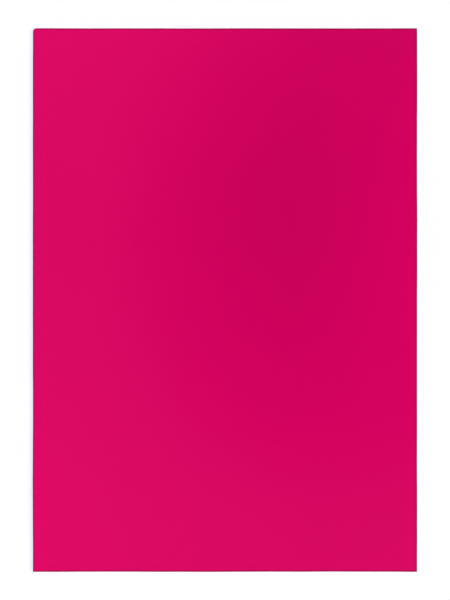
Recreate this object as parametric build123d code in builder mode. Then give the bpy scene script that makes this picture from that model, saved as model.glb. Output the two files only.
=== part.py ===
"""A flat, double-sided scoring board of A4 size.

Five plies are bonded into one stiff board. From the table up they are a grooved scoring
plate, an adhesive film, a stiff core, a second adhesive film and a plain face sheet.
The board lies with its plain side up and its score lines underneath. +X is the short
side, +Y is the long side, +Z is up, and the origin is the centre of the underside.
"""

from build123d import *

import os
from math import atan2, degrees

# Driving dimensions, in millimetres.
BOARD_WIDTH = 210.0  # A4 short side, along X
BOARD_LENGTH = 297.0  # A4 long side, along Y
PLATE_THICKNESS = 1.4
FILM_THICKNESS = 0.1
CORE_THICKNESS = 1.6
FACE_THICKNESS = 0.8

# The outline: one corner is rounded, the other three are cut nearly square.
ROUNDED_CORNER_RADIUS = 1.8
SQUARE_CORNER_RADIUS = 0.5
FACE_EDGE_RADIUS = 0.4  # the face sheet's pressed-down upper edge
INNER_SETBACK = 0.3  # how far the plies under the face sheet stay inside its outline
PLATE_EDGE_CHAMFER = 0.2

# Score grooves, counted outwards from the fold line at half the board's length.
GROOVE_PITCH = 5.0
GROOVES_EACH_SIDE = 28
GROOVE_WIDTH = 1.4
GROOVE_ROOT_WIDTH = 0.3
GROOVE_DEPTH = 0.8
GROOVE_END_MARGIN = 12.0  # plain border between a groove's end and the long edge
CENTRE_GROOVE_WIDTH = 1.8

# The scale engraved in one border, one tick per millimetre.
TICK_WIDTH = 0.25
TICK_DEPTH = 0.2
TICK_EDGE_GAP = 1.6
TICK_SPAN = 280
TICK_LENGTHS = {1: 2.0, 5: 3.2, 10: 4.6}  # length for every 1st, 5th and 10th millimetre

# The arrowheads that point at both ends of the centre groove.
ARROW_LENGTH = 3.0
ARROW_WIDTH = 2.4
ARROW_GAP = 1.2

# Heights of the faces between the plies.
PLATE_TOP = PLATE_THICKNESS
CORE_BOTTOM = PLATE_TOP + FILM_THICKNESS
CORE_TOP = CORE_BOTTOM + CORE_THICKNESS
FACE_BOTTOM = CORE_TOP + FILM_THICKNESS

GROOVE_LENGTH = BOARD_WIDTH - 2 * GROOVE_END_MARGIN


def ply_outline(setback):
    """The board's outline, moved inwards by setback, added to the sketch in progress."""
    outline = Rectangle(BOARD_WIDTH - 2 * setback, BOARD_LENGTH - 2 * setback)
    corners = outline.vertices().sort_by(Axis.Y)
    rounded = corners[2:].sort_by(Axis.X)[0]
    square = [corner for corner in corners if corner != rounded]
    fillet(rounded, radius=ROUNDED_CORNER_RADIUS - setback)
    fillet(square, radius=SQUARE_CORNER_RADIUS - setback)


def groove_taper(width):
    """The angle of a groove's flanks, in degrees from the vertical."""
    return degrees(atan2((width - GROOVE_ROOT_WIDTH) / 2, GROOVE_DEPTH))


os.makedirs("parts", exist_ok=True)

# The scoring plate: V grooves across the board, a scale and the centre arrows.
with BuildPart() as scoring_plate:
    with BuildSketch(Plane.XY):
        ply_outline(INNER_SETBACK)
    extrude(amount=PLATE_THICKNESS)
    chamfer(scoring_plate.edges().group_by(Axis.Z)[0], length=PLATE_EDGE_CHAMFER)

    with BuildSketch(Plane.XY):
        offset_to_side_field = (GROOVES_EACH_SIDE + 1) * GROOVE_PITCH / 2
        for side in (-1, 1):
            with Locations((0, side * offset_to_side_field)):
                with GridLocations(0, GROOVE_PITCH, 1, GROOVES_EACH_SIDE):
                    SlotOverall(GROOVE_LENGTH, GROOVE_WIDTH)
    extrude(amount=GROOVE_DEPTH, taper=groove_taper(GROOVE_WIDTH), mode=Mode.SUBTRACT)

    with BuildSketch(Plane.XY):
        SlotOverall(GROOVE_LENGTH, CENTRE_GROOVE_WIDTH)
    extrude(amount=GROOVE_DEPTH, taper=groove_taper(CENTRE_GROOVE_WIDTH), mode=Mode.SUBTRACT)

    tick_start = -BOARD_WIDTH / 2 + TICK_EDGE_GAP
    with BuildSketch(Plane.XY):
        for spacing, length in TICK_LENGTHS.items():
            with Locations((tick_start, 0)):
                with GridLocations(0, spacing, 1, TICK_SPAN // spacing + 1):
                    Rectangle(length, TICK_WIDTH, align=(Align.MIN, Align.CENTER))
    extrude(amount=TICK_DEPTH, mode=Mode.SUBTRACT)

    arrow_tip = GROOVE_LENGTH / 2 + ARROW_GAP
    with BuildSketch(Plane.XY):
        with BuildLine():
            Polyline(
                (arrow_tip, 0),
                (arrow_tip + ARROW_LENGTH, ARROW_WIDTH / 2),
                (arrow_tip + ARROW_LENGTH, -ARROW_WIDTH / 2),
                close=True,
            )
        make_face()
        mirror(about=Plane.YZ)
    extrude(amount=TICK_DEPTH, mode=Mode.SUBTRACT)

scoring_plate.part.label = "scoring_plate"
export_step(scoring_plate.part, "parts/scoring_plate.step")

# The film that bonds the scoring plate to the core.
with BuildPart() as plate_adhesive_film:
    with BuildSketch(Plane.XY.offset(PLATE_TOP)):
        ply_outline(INNER_SETBACK)
    extrude(amount=FILM_THICKNESS)

plate_adhesive_film.part.label = "plate_adhesive_film"
export_step(plate_adhesive_film.part, "parts/plate_adhesive_film.step")

# The core, which keeps the board flat and stiff.
with BuildPart() as core_board:
    with BuildSketch(Plane.XY.offset(CORE_BOTTOM)):
        ply_outline(INNER_SETBACK)
    extrude(amount=CORE_THICKNESS)

core_board.part.label = "core_board"
export_step(core_board.part, "parts/core_board.step")

# The film that bonds the face sheet to the core.
with BuildPart() as face_adhesive_film:
    with BuildSketch(Plane.XY.offset(CORE_TOP)):
        ply_outline(INNER_SETBACK)
    extrude(amount=FILM_THICKNESS)

face_adhesive_film.part.label = "face_adhesive_film"
export_step(face_adhesive_film.part, "parts/face_adhesive_film.step")

# The plain face sheet, whose upper edge is pressed into a small round.
with BuildPart() as face_sheet:
    with BuildSketch(Plane.XY.offset(FACE_BOTTOM)):
        ply_outline(0)
    extrude(amount=FACE_THICKNESS)
    fillet(face_sheet.edges().group_by(Axis.Z)[-1], radius=FACE_EDGE_RADIUS)

face_sheet.part.label = "face_sheet"
export_step(face_sheet.part, "parts/face_sheet.step")
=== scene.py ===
"""Looks of a flat A4 scoring board that lies with its plain side up.

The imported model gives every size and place. The face sheet, the core and the two films
get their own meshes, with the small unevenness of cut and pressed sheet, and the
grooved plate keeps its CAD mesh. Lengths are in metres.
"""

import math

import bpy
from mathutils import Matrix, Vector, noise


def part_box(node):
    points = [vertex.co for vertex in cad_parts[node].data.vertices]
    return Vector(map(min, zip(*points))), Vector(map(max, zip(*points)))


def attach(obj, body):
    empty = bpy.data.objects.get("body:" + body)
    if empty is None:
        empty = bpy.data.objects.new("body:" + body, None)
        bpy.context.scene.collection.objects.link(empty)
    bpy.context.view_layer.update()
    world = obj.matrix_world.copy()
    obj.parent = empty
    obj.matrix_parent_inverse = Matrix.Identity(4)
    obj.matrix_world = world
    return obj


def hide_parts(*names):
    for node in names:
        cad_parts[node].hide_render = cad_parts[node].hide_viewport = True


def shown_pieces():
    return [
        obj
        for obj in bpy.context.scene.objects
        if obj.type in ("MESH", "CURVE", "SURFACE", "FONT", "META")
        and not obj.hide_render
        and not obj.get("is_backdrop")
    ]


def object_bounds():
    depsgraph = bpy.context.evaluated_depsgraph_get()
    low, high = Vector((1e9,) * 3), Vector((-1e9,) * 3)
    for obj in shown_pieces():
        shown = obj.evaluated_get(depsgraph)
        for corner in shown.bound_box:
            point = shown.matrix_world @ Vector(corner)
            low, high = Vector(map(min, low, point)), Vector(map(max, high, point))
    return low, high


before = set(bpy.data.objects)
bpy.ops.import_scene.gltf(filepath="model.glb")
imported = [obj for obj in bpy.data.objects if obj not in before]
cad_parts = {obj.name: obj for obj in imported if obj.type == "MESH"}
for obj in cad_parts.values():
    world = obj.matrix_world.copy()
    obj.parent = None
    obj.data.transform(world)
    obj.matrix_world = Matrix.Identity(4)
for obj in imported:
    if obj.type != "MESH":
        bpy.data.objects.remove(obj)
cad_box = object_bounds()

MM = 0.001

# The board's outline: one rounded corner, three nearly square.
ROUNDED_CORNER = 1.8 * MM
SQUARE_CORNER = 0.4 * MM
CUT_SQUARE_CORNER = SQUARE_CORNER / 2  # the same corner of the core and the films

# The face sheet's pressed upper edge.
FACE_EDGE_ROUND = 0.40 * MM
ROUND_STEPS = 6

# The face sheet's grid: a few lines close to its edge, then even steps.
BORDER_STEPS = tuple(step * MM for step in (0.55, 0.72, 0.91, 1.12, 1.35, 1.6, 1.9, 2.3, 3.0))
CORNER_REACH = BORDER_STEPS[-1]
GRID_STEP = 2.0 * MM
SHEET_CREASE = math.radians(40)  # a turn sharper than this keeps its edge when shaded

# The face sheet's cut edges wander in and out in two waves, long and short.
EDGE_WAVE = 0.11 * MM
EDGE_WAVE_LENGTHS = (46 * MM, 17 * MM)
EDGE_WAVE_SHARES = (1.5, 0.6)
EDGE_WAVE_REACH = 6 * MM  # how far in from the edge the wandering dies out
EDGE_LANE_GAP = 7.3  # keeps the noise of the four edges apart
EDGE_LANE_LEVEL = 1.9  # the height at which the noise is read

# The face swells over and under its plane, broadly and more finely.
FACE_SWELL = 0.05 * MM
FACE_SWELL_LENGTH = 70 * MM
FINE_SWELL_SHARE = 0.4
FINE_SWELL_RATE = 3.1
FINE_SWELL_SHIFT = Vector((5, 1, 0))

# The ragged side of the core and the films: big tears with finer ones on them.
CUT_STEP = 0.5 * MM  # from one point round the outline to the next
LEAST_ARC_STEPS = 3
FINE_TEAR_SHARE = 0.5
FINE_TEAR_RATE = 2.7
FINE_TEAR_SHIFT = Vector((3, 8, 2))
MEAN_TEAR = 0.5  # share of the full depth
TEAR_GAIN = 0.6
CUT_CREASE = math.radians(50)

# How deep each side is torn, the length and height of a tear, and the levels of points.
CORE_TEAR_DEPTH = 0.16 * MM
CORE_TEAR = (2.4 * MM, 0.22 * MM)
CORE_LEVELS = 10
FILM_TEAR_DEPTH = 0.10 * MM
FILM_TEAR = (5.0 * MM, 9.0 * MM)
FILM_LEVELS = 1


# --- Meshes ---------------------------------------------------------------------------


def new_object(name, vertices, faces):
    """An object with that mesh, in the scene."""
    mesh = bpy.data.meshes.new(name)
    mesh.from_pydata(vertices, [], faces)
    made = bpy.data.objects.new(name, mesh)
    bpy.context.scene.collection.objects.link(made)
    return made


def shade_smooth(mesh, crease):
    """Smooth shading, apart from turns sharper than crease."""
    mesh.polygons.foreach_set("use_smooth", [True] * len(mesh.polygons))
    mesh.set_sharp_from_angle(angle=crease)
    mesh.update()


def edge_wave(along, lane):
    """How far the cut edge number lane stands out of the straight line at this place."""
    wave = 0.0
    for length, share in zip(EDGE_WAVE_LENGTHS, EDGE_WAVE_SHARES):
        place = Vector((along / length, EDGE_LANE_GAP * lane, EDGE_LANE_LEVEL))
        wave += share * noise.noise(place)
    return EDGE_WAVE * wave


def face_swell(x, y):
    """Height of the face over or under its flat plane."""
    place = Vector((x, y, 0)) / FACE_SWELL_LENGTH
    fine = noise.noise(place * FINE_SWELL_RATE + FINE_SWELL_SHIFT)
    return FACE_SWELL * (noise.noise(place) + FINE_SWELL_SHARE * fine)


def grid_lines(half, edge_distances):
    """Coordinates of the grid lines from -half to half: fine near both ends, even between."""
    inner = half - edge_distances[-1]
    count = math.ceil(2 * inner / GRID_STEP)
    even = [-inner + 2 * inner * i / count for i in range(1, count)]
    low = [-half + distance for distance in edge_distances]
    return low + even + [-line for line in reversed(low)]


def on_rounded_corner(u, v, radius):
    """Moves a point, u and v in from a corner's two sides, onto the rounded ring through it."""
    near = min(u, v)
    far = max(u, v)
    if far >= CORNER_REACH:
        return u, v
    ring = CORNER_REACH - near
    arc = max(radius - near, 0.0)
    walked = (CORNER_REACH - far) / ring * (ring - arc * (1 - math.pi / 4))
    if walked <= ring - arc:
        out = ring
        side = walked
    else:
        turn = (walked - (ring - arc)) / arc
        out = ring - arc + arc * math.cos(turn)
        side = ring - arc + arc * math.sin(turn)
    if u <= v:
        return CORNER_REACH - out, CORNER_REACH - side
    return CORNER_REACH - side, CORNER_REACH - out


def sheet_point(x, y, half_x, half_y):
    """Where a flat grid point lies in the real outline, with rounded corners and uneven edges."""
    rounded = x < 0 < y
    radius = ROUNDED_CORNER if rounded else SQUARE_CORNER
    u, v = on_rounded_corner(half_x - abs(x), half_y - abs(y), radius)
    px = math.copysign(half_x - u, x)
    py = math.copysign(half_y - v, y)
    fade_x = max(0.0, 1 - u / EDGE_WAVE_REACH)
    fade_y = max(0.0, 1 - v / EDGE_WAVE_REACH)
    px += math.copysign(fade_x, x) * edge_wave(py, 1 if x > 0 else 2)
    py += math.copysign(fade_y, y) * edge_wave(px, 3 if y > 0 else 4)
    return px, py


def rounded_drop(inset):
    """How far the rounded upper edge lies under the face, inset metres in from the side."""
    if inset >= FACE_EDGE_ROUND:
        return 0.0
    return FACE_EDGE_ROUND - math.sqrt(FACE_EDGE_ROUND**2 - (FACE_EDGE_ROUND - inset) ** 2)


def closed_sheet(name, half_x, half_y, bottom, top):
    """A closed sheet: a fine top with a rounded edge, an upright side and a flat bottom.

    The attribute "inset" holds how far in from the nearest side each point started.
    """
    turns = [math.pi / 2 * i / ROUND_STEPS for i in range(ROUND_STEPS + 1)]
    distances = [FACE_EDGE_ROUND * (1 - math.cos(turn)) for turn in turns] + list(BORDER_STEPS)
    xs = grid_lines(half_x, distances)
    ys = grid_lines(half_y, distances)
    columns, rows = len(xs), len(ys)

    upper = []
    lower = []
    insets = []
    for y in ys:
        for x in xs:
            px, py = sheet_point(x, y, half_x, half_y)
            inset = min(half_x - abs(x), half_y - abs(y))
            upper.append((px, py, top - rounded_drop(inset) + face_swell(px, py)))
            lower.append((px, py, bottom))
            insets.append(inset)

    below = len(upper)
    faces = []
    for j in range(rows - 1):
        for i in range(columns - 1):
            a = j * columns + i
            b, c, d = a + 1, a + columns + 1, a + columns
            faces.append((a, b, c, d))
            faces.append((a + below, d + below, c + below, b + below))
    border = list(range(columns - 1))
    border += [j * columns + columns - 1 for j in range(rows - 1)]
    border += [(rows - 1) * columns + i for i in range(columns - 1, 0, -1)]
    border += [j * columns for j in range(rows - 1, 0, -1)]
    for here, after in zip(border, border[1:] + border[:1]):
        faces.append((here, here + below, after + below, after))

    piece = new_object(name, upper + lower, faces)
    piece.data.attributes.new("inset", "FLOAT", "POINT").data.foreach_set("value", insets * 2)
    shade_smooth(piece.data, SHEET_CREASE)
    return piece


def rounded_outline(half_x, half_y, radii, step):
    """Points and outward normals round a rectangle, anticlockwise, with a radius per corner.

    It starts at the +X end of the corner at +X, +Y, and the radii are in the same order.
    """
    signs = ((1, 1), (-1, 1), (-1, -1), (1, -1))
    centres = [
        Vector((sign_x * (half_x - radius), sign_y * (half_y - radius)))
        for (sign_x, sign_y), radius in zip(signs, radii)
    ]
    points = []
    for turn, (centre, radius) in enumerate(zip(centres, radii)):
        arc_steps = max(LEAST_ARC_STEPS, math.ceil(radius * math.pi / 2 / step))
        for i in range(arc_steps + 1):
            angle = math.pi / 2 * (turn + i / arc_steps)
            normal = Vector((math.cos(angle), math.sin(angle)))
            points.append((centre + radius * normal, normal))
        following = (turn + 1) % len(signs)
        start = points[-1][0]
        end = centres[following] + radii[following] * normal
        side_steps = math.ceil((end - start).length / step)
        points += [(start.lerp(end, i / side_steps), normal) for i in range(1, side_steps)]
    return points


def cut_ply(name, node, levels, depth, tear):
    """A ply whose side is torn by the cut: it stands back from the cut plane by up to depth."""
    low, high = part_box(node)
    radii = (CUT_SQUARE_CORNER, ROUNDED_CORNER, CUT_SQUARE_CORNER, CUT_SQUARE_CORNER)
    outline = rounded_outline(high[0], high[1], radii, CUT_STEP)
    tear_length, tear_height = tear
    vertices = []
    for level in range(levels + 1):
        z = low[2] + (high[2] - low[2]) * level / levels
        for point, normal in outline:
            place = Vector((point.x / tear_length, point.y / tear_length, z / tear_height))
            fine = noise.noise(place * FINE_TEAR_RATE + FINE_TEAR_SHIFT)
            torn = noise.noise(place) + FINE_TEAR_SHARE * fine
            back = depth * min(1.0, max(0.0, MEAN_TEAR + TEAR_GAIN * torn))
            vertices.append((*(point - back * normal), z))

    count = len(outline)
    faces = [tuple(reversed(range(count))), tuple(range(levels * count, (levels + 1) * count))]
    for level in range(levels):
        for i in range(count):
            a = level * count + i
            b = level * count + (i + 1) % count
            faces.append((a, b, b + count, a + count))
    piece = new_object(name, vertices, faces)
    shade_smooth(piece.data, CUT_CREASE)
    return piece


# --- Materials ------------------------------------------------------------------------


def rgb(red, green, blue):
    return (red, green, blue, 1.0)


def shaded(colour, share):
    """The colour at that share of its brightness."""
    return rgb(*(share * channel for channel in colour[:3]))


# Magenta plastic: a faint cloud and flecks of a darker tone, and a fine pressed grain.
MAGENTA = rgb(0.595, 0.0002, 0.1032)
DARKER_TONE = 0.93
CLOUD_SIZE = 45 * MM
CLOUD_STRENGTH = 0.16
FLECK_SIZE = 2.2 * MM
FLECK_STRENGTH = 0.05
RUB_SIZE = 26 * MM
RUB_ROUGHNESS = (0.31, 0.345)
GRAIN_SIZE = 0.35 * MM
GRAIN_ROUGHNESS = 0.012  # how far the grain moves the roughness, up or down
GRAIN_DEPTH = 0.006 * MM

# Painted shade: the sheet's colour is darkened in a band round its edges and over its sides. The
# band is also rougher and less shiny.
RIM_WIDTH = 1.05 * MM
RIM_RAG = 0.06 * MM
RIM_RAG_SIZE = 1.6 * MM
PAINTED_RIM_SHADE = 0.3
RIM_EXTRA_ROUGHNESS = 0.3
RIM_SPECULAR = 0.05
FACE_SPECULAR = 0.3

# Grey chipboard: flattened fibres, with dark specks.
FIBRES_PER_METRE = (450, 450, 5200)
FIBRE_DARK = rgb(0.33, 0.30, 0.26)
FIBRE_LIGHT = rgb(0.52, 0.48, 0.42)
FIBRE_DEPTH = 0.06 * MM
SPECK_SIZE = 0.5 * MM
SPECK_BAND = (0.6, 0.72)  # the noise at which specks start, and at which they are full
SPECK_STRENGTH = 0.7
SPECK_COLOUR = rgb(0.14, 0.12, 0.10)
CHIPBOARD_ROUGHNESS = 0.9
CHIPBOARD_SPECULAR = 0.2

# Milky adhesive film.
FILM_LIGHT = rgb(0.74, 0.72, 0.66)
FILM_DARK = rgb(0.60, 0.57, 0.50)
BLOTCH_SIZE = 4 * MM
FILM_ROUGHNESS = (0.25, 0.45)

# The floor glows as painted light: dimmer and slightly blue round the board, where the key's
# shadow can show, brighter further out. Its glow changes between two distances from the board's
# middle.
FLOOR_WHITE = rgb(0.72, 0.72, 0.72)
FLOOR_ROUGHNESS = 0.9
GLOW_NEAR = rgb(0.691, 0.687, 0.737)
GLOW_FAR = rgb(1.1, 1.1, 1.1)
GLOW_NEAR_DISTANCE = 0.25
GLOW_FAR_DISTANCE = 0.9

BLACK = rgb(0.0, 0.0, 0.0)

NOISE_BAND = (0.3, 0.7)  # nearly all of a noise node's values lie between these


class Shader:
    """A material's node tree, with short ways to add nodes and join them."""

    def __init__(self, name):
        self.material = bpy.data.materials.new(name)
        self.material.use_nodes = True
        self.tree = self.material.node_tree
        self.surface = self.tree.nodes["Principled BSDF"]
        self.place = self.node("ShaderNodeTexCoord").outputs["Object"]

    def node(self, kind, **settings):
        node = self.tree.nodes.new(kind)
        for key, value in settings.items():
            setattr(node, key, value)
        return node

    def put(self, target, value):
        """Joins a socket to the target, or gives the target a plain value."""
        if isinstance(value, bpy.types.NodeSocket):
            self.tree.links.new(value, target)
        else:
            target.default_value = value

    def set_surface(self, key, value):
        self.put(self.surface.inputs[key], value)

    def stretched(self, scale):
        """Object coordinates in units of 1/scale metres, a scale for each axis."""
        node = self.node("ShaderNodeMapping")
        self.put(node.inputs["Vector"], self.place)
        self.put(node.inputs["Scale"], scale)
        return node.outputs["Vector"]

    def noise(self, size, detail=2.0, roughness=0.5, vector=None):
        """Noise with features about size metres wide, from 0 to 1."""
        node = self.node("ShaderNodeTexNoise")
        self.put(node.inputs["Vector"], vector or self.place)
        self.put(node.inputs["Scale"], 1 / size)
        self.put(node.inputs["Detail"], detail)
        self.put(node.inputs["Roughness"], roughness)
        return node.outputs["Fac"]

    def remap(self, value, from_low, from_high, to_low, to_high):
        node = self.node("ShaderNodeMapRange")
        self.put(node.inputs["Value"], value)
        self.put(node.inputs["From Min"], from_low)
        self.put(node.inputs["From Max"], from_high)
        self.put(node.inputs["To Min"], to_low)
        self.put(node.inputs["To Max"], to_high)
        return node.outputs["Result"]

    def spread(self, noise_value, low, high):
        """Noise stretched to run from low to high."""
        return self.remap(noise_value, *NOISE_BAND, low, high)

    def math(self, operation, first, second):
        node = self.node("ShaderNodeMath", operation=operation)
        self.put(node.inputs[0], first)
        self.put(node.inputs[1], second)
        return node.outputs[0]

    def mix(self, factor, first, second):
        node = self.node("ShaderNodeMix", data_type="RGBA")
        self.put(node.inputs["Factor"], factor)
        self.put(node.inputs["A"], first)
        self.put(node.inputs["B"], second)
        return node.outputs["Result"]

    def inset(self, half_x, half_y):
        """How far in from the nearest side of a rectangle of those half sizes, in metres."""
        split = self.node("ShaderNodeSeparateXYZ")
        self.put(split.inputs[0], self.place)
        from_x = self.math("SUBTRACT", half_x, self.math("ABSOLUTE", split.outputs["X"], 0.0))
        from_y = self.math("SUBTRACT", half_y, self.math("ABSOLUTE", split.outputs["Y"], 0.0))
        return self.math("MINIMUM", from_x, from_y)

    def bump(self, height, depth):
        """A bump of that height map, depth metres from its lowest to its highest."""
        node = self.node("ShaderNodeBump")
        self.put(node.inputs["Strength"], 1.0)
        self.put(node.inputs["Distance"], depth)
        self.put(node.inputs["Height"], height)
        return node.outputs["Normal"]


def magenta_sheet(name, half=None):
    """Dyed plastic sheet: an even deep magenta with a fine pressed grain, and a dark rim of
    painted shade.

    The rim follows the sides of a rectangle of those half sizes, or without them the
    mesh's attribute "inset".
    """
    shader = Shader(name)
    cloud = shader.spread(shader.noise(CLOUD_SIZE, detail=3.0), 0.0, CLOUD_STRENGTH)
    fleck = shader.spread(shader.noise(FLECK_SIZE), 0.0, FLECK_STRENGTH)
    tone = shader.math("ADD", cloud, fleck)
    body = shader.mix(tone, MAGENTA, shaded(MAGENTA, DARKER_TONE))

    rub = shader.spread(shader.noise(RUB_SIZE, detail=5.0, roughness=0.65), *RUB_ROUGHNESS)
    grain = shader.noise(GRAIN_SIZE)
    rough = shader.math("ADD", rub, shader.spread(grain, -GRAIN_ROUGHNESS, GRAIN_ROUGHNESS))

    if half is None:
        inset = shader.node("ShaderNodeAttribute", attribute_name="inset").outputs["Fac"]
    else:
        inset = shader.inset(*half)
    rag = shader.spread(shader.noise(RIM_RAG_SIZE), -RIM_RAG, RIM_RAG)
    ragged = shader.math("ADD", inset, rag)
    rim = shader.remap(ragged, 0.0, RIM_WIDTH, 1.0, 0.0)
    rim_roughness = shader.math("MULTIPLY", rim, RIM_EXTRA_ROUGHNESS)
    specular = shader.remap(ragged, 0.0, RIM_WIDTH, RIM_SPECULAR, FACE_SPECULAR)

    # Painted shade: the rim mixes a darker magenta into the colour along the edges.
    shader.set_surface("Base Color", shader.mix(rim, body, shaded(MAGENTA, PAINTED_RIM_SHADE)))
    shader.set_surface("Roughness", shader.math("ADD", rough, rim_roughness))
    shader.set_surface("Specular IOR Level", specular)
    shader.set_surface("Normal", shader.bump(grain, GRAIN_DEPTH))
    return shader.material


def chipboard(name):
    """Grey chipboard seen at its cut edge: flattened fibres in layers, with dark specks."""
    shader = Shader(name)
    fibres = shader.noise(1.0, detail=4.0, vector=shader.stretched(FIBRES_PER_METRE))
    body = shader.mix(shader.spread(fibres, 0.0, 1.0), FIBRE_DARK, FIBRE_LIGHT)
    speck_noise = shader.noise(SPECK_SIZE, detail=3.0, roughness=0.7)
    specks = shader.remap(speck_noise, *SPECK_BAND, 0.0, SPECK_STRENGTH)
    shader.set_surface("Base Color", shader.mix(specks, body, SPECK_COLOUR))
    shader.set_surface("Roughness", CHIPBOARD_ROUGHNESS)
    shader.set_surface("Specular IOR Level", CHIPBOARD_SPECULAR)
    shader.set_surface("Normal", shader.bump(fibres, FIBRE_DEPTH))
    return shader.material


def adhesive(name):
    """Milky double-sided film."""
    shader = Shader(name)
    blotch = shader.noise(BLOTCH_SIZE, detail=3.0)
    shader.set_surface("Base Color", shader.mix(blotch, FILM_LIGHT, FILM_DARK))
    shader.set_surface("Roughness", shader.spread(blotch, *FILM_ROUGHNESS))
    return shader.material


def painted_glow_floor(name):
    """A white table that glows as painted light: dimmer and slightly blue round the board, where
    the key's shadow can show.
    """
    shader = Shader(name)
    away = shader.node("ShaderNodeVectorMath", operation="LENGTH")
    shader.put(away.inputs[0], shader.place)
    far = shader.remap(away.outputs["Value"], GLOW_NEAR_DISTANCE, GLOW_FAR_DISTANCE, 0.0, 1.0)
    shader.set_surface("Base Color", FLOOR_WHITE)
    shader.set_surface("Roughness", FLOOR_ROUGHNESS)
    shader.set_surface("Specular IOR Level", 0.0)
    # Painted light: the floor glows, dimmer and bluish near the board and brighter far out.
    shader.set_surface("Emission Color", shader.mix(far, GLOW_NEAR, GLOW_FAR))
    shader.set_surface("Emission Strength", 1.0)
    return shader.material


def black_card(name):
    """Card that gives no light back."""
    shader = Shader(name)
    shader.set_surface("Base Color", BLACK)
    shader.set_surface("Roughness", 1.0)
    shader.set_surface("Specular IOR Level", 0.0)
    return shader.material


# --- The pieces -----------------------------------------------------------------------


def make_face_sheet():
    low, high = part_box("face_sheet")
    piece = closed_sheet("face_sheet_skin", high[0], high[1], low[2], high[2])
    piece.data.materials.append(magenta_sheet("face_magenta"))
    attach(piece, "root")
    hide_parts("face_sheet")


def make_inner_plies():
    """The core, with fibres torn in flat layers, and the two films, cut back a little unevenly."""
    film = adhesive("milky_film")
    core = chipboard("core_chipboard")
    for node, slot, material, levels, depth, tear in (
        ("core_board", "core_board", core, CORE_LEVELS, CORE_TEAR_DEPTH, CORE_TEAR),
        ("plate_adhesive_film", "adhesive_film", film, FILM_LEVELS, FILM_TEAR_DEPTH, FILM_TEAR),
        ("face_adhesive_film", "adhesive_film", film, FILM_LEVELS, FILM_TEAR_DEPTH, FILM_TEAR),
    ):
        piece = cut_ply(node + "_cut", node, levels, depth, tear)
        piece.data.materials.append(material)
        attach(piece, "root")
        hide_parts(node)


def paint_plate():
    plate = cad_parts["scoring_plate"]
    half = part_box("scoring_plate")[1][:2]
    plate.data.materials.clear()
    # The plate's rim along its sides is painted shade too.
    plate.data.materials.append(magenta_sheet("plate_magenta", half=half))


# --- The set --------------------------------------------------------------------------

# The camera is straight over the board's middle.
PICTURE_SPAN = 327.8 * MM  # what the picture's long side spans at the height of the face
LENS = 120.0
SENSOR = 36.0
NEAREST_SEEN = 0.01
FARTHEST_SEEN = 50.0

FLOOR_HALF = 6.0

# Brightness of the studio dome at the sine of the angle above the horizon.
DOME = ((0.10, 1.0), (0.22, 0.45), (0.60, 0.15), (0.85, 0.12))

# The lamps: place, size and power in watts.
KEY = ((1.27, 0.0, 2.72), (1.5, 1.5), 29.0)
PANEL = ((0.0, 0.0, 1.0), (0.6, 1.0), 2.30)
FILLS = {
    "fill_front_left": ((-0.20, -0.22, 0.28), (0.2, 0.2), 0.58),
    "fill_back_left": ((-0.12, 0.30, 0.25), (0.2, 0.2), 0.515),
    "fill_front_right": ((0.235, -0.28, 0.15), (0.1, 0.1), 0.226),
    "fill_right": ((0.19, 0.04, 0.14), (0.1, 0.1), 0.083),
}

# The two cards over the board, which no camera sees.
SHADE_PLACE = (0.032, 0.045, 0.16)
SHADE_HALF = (0.0435, 0.063)
FLAG_PLACE = (0.069, 0.034, 0.16)
FLAG_HALF = (0.126, 0.149)
FLAG_CORNERS = 48


def rectangle(half_x, half_y):
    return [(-half_x, -half_y, 0), (half_x, -half_y, 0), (half_x, half_y, 0), (-half_x, half_y, 0)]


def oval(half_x, half_y, corners):
    turns = [2 * math.pi * i / corners for i in range(corners)]
    return [(half_x * math.cos(turn), half_y * math.sin(turn), 0) for turn in turns]


def flat_sheet(name, corners, place):
    """A flat sheet of the set, with those corners round its place."""
    sheet = new_object(name, corners, [tuple(range(len(corners)))])
    sheet.location = place
    return sheet


def make_floor():
    place = (0.0, 0.0, cad_box[0][2])
    floor = flat_sheet("floor", rectangle(FLOOR_HALF, FLOOR_HALF), place)
    floor.data.materials.append(painted_glow_floor("painted_glow_ground"))
    floor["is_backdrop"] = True


def make_world():
    """A studio dome, white at the horizon and dim above.

    It isn't sampled as a lamp, because that light would go through the black flag.
    """
    world = bpy.data.worlds.new("studio")
    world.use_nodes = True
    nodes, links = world.node_tree.nodes, world.node_tree.links
    background = nodes["Background"]
    direction = nodes.new("ShaderNodeTexCoord")
    split = nodes.new("ShaderNodeSeparateXYZ")
    ramp = nodes.new("ShaderNodeValToRGB")
    links.new(direction.outputs["Generated"], split.inputs[0])
    links.new(split.outputs["Z"], ramp.inputs["Fac"])
    links.new(ramp.outputs["Color"], background.inputs["Color"])
    stops = ramp.color_ramp.elements
    for height, brightness in DOME[1:-1]:
        stops.new(height)
    for stop, (height, brightness) in zip(stops, DOME):
        stop.position = height
        stop.color = rgb(brightness, brightness, brightness)
    background.inputs["Strength"].default_value = 1.0
    world.cycles.sampling_method = "NONE"
    bpy.context.scene.world = world


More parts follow.
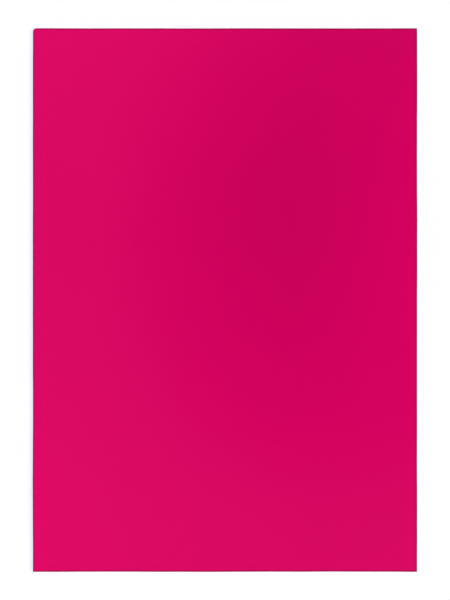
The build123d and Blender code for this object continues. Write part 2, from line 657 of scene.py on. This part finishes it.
def soft_lamp(name, place, size, power):
    """A rectangular lamp that faces the board. It isn't seen, straight on or as a highlight."""
    data = bpy.data.lights.new(name, "AREA")
    data.shape = "RECTANGLE"
    data.size, data.size_y = size
    data.energy = power
    data.cycles.use_multiple_importance_sampling = False
    lamp = bpy.data.objects.new(name, data)
    lamp.location = place
    lamp.rotation_euler = Vector(place).to_track_quat("Z", "Y").to_euler()
    lamp.visible_camera = False
    lamp.visible_glossy = False
    bpy.context.scene.collection.objects.link(lamp)
    return lamp


def make_lights():
    """A key from the right, whose shadow shows at the left edge, and lamps for the board alone."""
    board = bpy.data.collections.new("board")
    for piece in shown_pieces():
        board.objects.link(piece)
    key = soft_lamp("key_right", *KEY)
    key.light_linking.blocker_collection = board
    panel = soft_lamp("panel_above", *PANEL)
    panel.light_linking.receiver_collection = board
    for name, (place, size, power) in FILLS.items():
        fill = soft_lamp(name, place, size, power)
        fill.light_linking.receiver_collection = board
        fill.light_linking.blocker_collection = board


def make_shade():
    """A card that holds back part of the panel's light, to dim a soft patch of the face."""
    card = flat_sheet("shade_card", rectangle(*SHADE_HALF), SHADE_PLACE)
    card.visible_camera = False
    card.visible_glossy = False
    card.visible_diffuse = False
    card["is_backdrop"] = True


def make_flag():
    """A black card that the face mirrors instead of the dome, which deepens its upper right.

    It casts no shadow, so the lamps' light goes through it.
    """
    flag = flat_sheet("black_flag", oval(*FLAG_HALF, FLAG_CORNERS), FLAG_PLACE)
    flag.data.materials.append(black_card("black_card"))
    flag.visible_camera = False
    flag.visible_shadow = False
    flag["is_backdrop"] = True


def make_camera():
    data = bpy.data.cameras.new("camera")
    data.type = "PERSP"
    data.lens = LENS
    data.sensor_width = SENSOR
    data.clip_start = NEAREST_SEEN
    data.clip_end = FARTHEST_SEEN
    camera = bpy.data.objects.new("camera", data)
    top = cad_box[1][2]
    camera.location = (0, 0, top + PICTURE_SPAN * LENS / SENSOR)
    bpy.context.scene.collection.objects.link(camera)
    bpy.context.scene.camera = camera


make_camera()
make_face_sheet()
make_inner_plies()
paint_plate()
make_floor()
make_world()
make_lights()
make_shade()
make_flag()
bpy.context.scene.view_settings.view_transform = "Standard"
